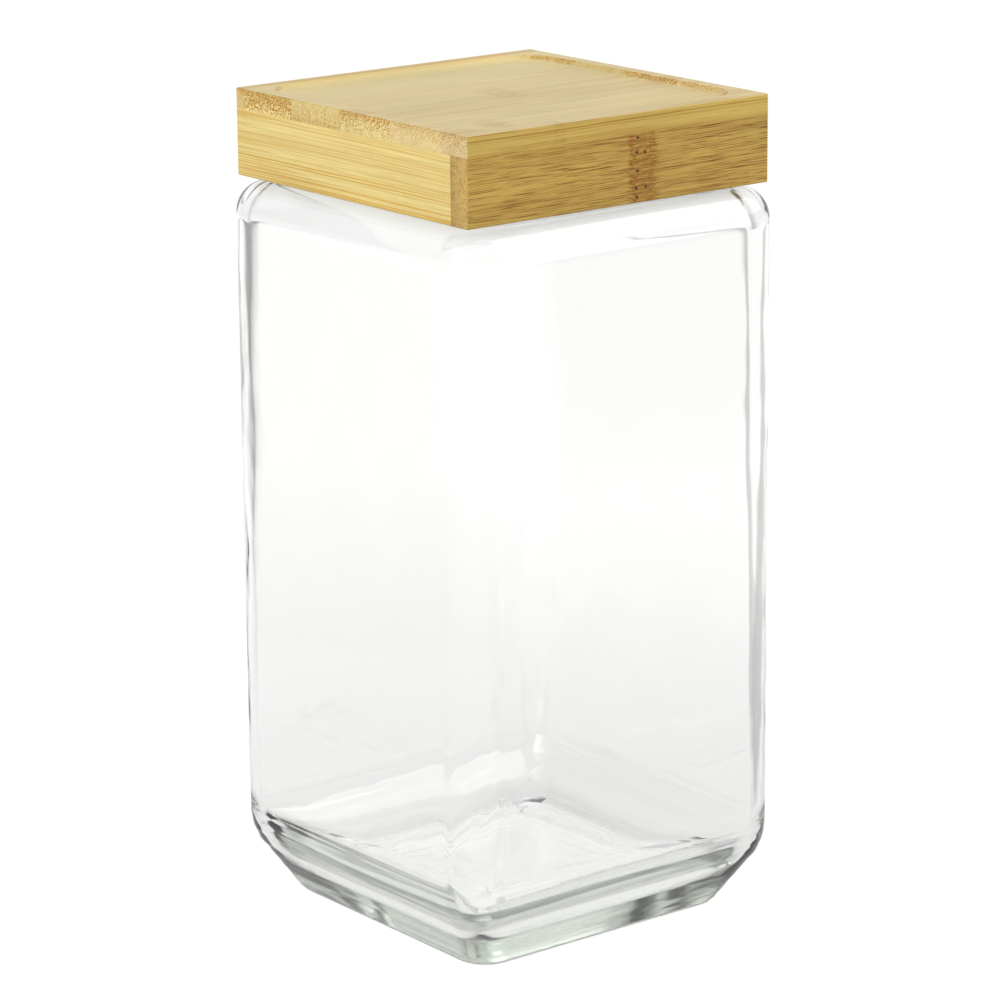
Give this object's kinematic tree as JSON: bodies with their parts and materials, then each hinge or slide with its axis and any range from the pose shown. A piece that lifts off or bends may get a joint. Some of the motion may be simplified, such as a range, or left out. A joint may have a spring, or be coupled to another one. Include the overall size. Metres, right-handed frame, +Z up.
{
  "type": "glass storage jar",
  "caption": "Tall square glass storage jar with a thick chamfered base and a lift-off bamboo lid with a dished top and a silicone seal.",
  "frame": {"origin": "centre of the foot, on the surface that the jar stands on", "axes": "+Z up along the jar's height, +X to the right and -Y out of the front face"},
  "size_m": [0.114, 0.114, 0.2375],
  "materials": {
    "glass": "clear pressed glass, faintly green where it is thick",
    "bamboo_board": "sanded pale bamboo, edge-glued strips, thin matt oil",
    "bamboo_rail": "sanded bamboo strip with brown fibres, thin matt oil",
    "silicone": "matt milky silicone"
  },
  "bodies": {
    "jar": {"jar_body": "glass"},
    "lid": {"top_strip_1": "bamboo_board", "top_strip_2": "bamboo_board", "top_strip_3": "bamboo_board", "top_strip_4": "bamboo_board", "top_strip_5": "bamboo_board", "top_strip_6": "bamboo_board", "front_rail": "bamboo_rail", "left_rail": "bamboo_rail", "right_rail": "bamboo_rail", "back_rail": "bamboo_rail", "plug_board": "bamboo_board", "silicone_seal": "silicone"}
  },
  "joints": [
    {"name": "lid_lift", "type": "slide", "parent": "jar", "child": "lid", "axis": [0, 0, 1], "range_m": [0, 0.06]}
  ]
}
